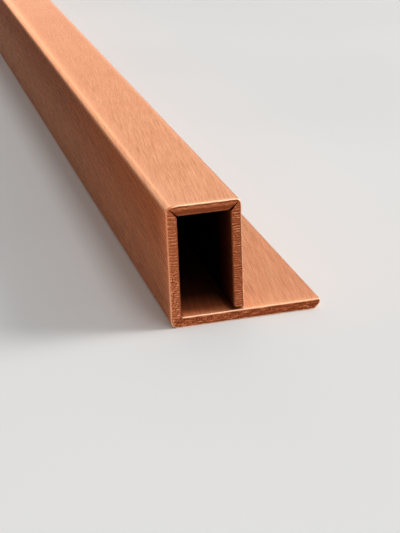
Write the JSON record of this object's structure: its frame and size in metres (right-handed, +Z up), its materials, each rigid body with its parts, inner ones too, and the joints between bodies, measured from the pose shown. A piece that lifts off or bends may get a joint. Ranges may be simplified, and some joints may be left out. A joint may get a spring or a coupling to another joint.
{
  "type": "flanged box profile",
  "caption": "Slim rectangular box profile folded from brushed copper sheet, with a flat flange along one side of its base.",
  "frame": {"origin": "under the middle of the base's overall width, on the base's underside, at mid-length", "axes": "+Y along the profile, away from the end seen in the picture; +X across it, from the box towards the flange's free edge; +Z up"},
  "size_m": [0.0288, 1, 0.0235],
  "materials": {
    "copper": "brushed bare copper, hairline grain along the length, matt sheared ends"
  },
  "bodies": {
    "root": {"folded_profile": "copper"}
  },
  "joints": []
}
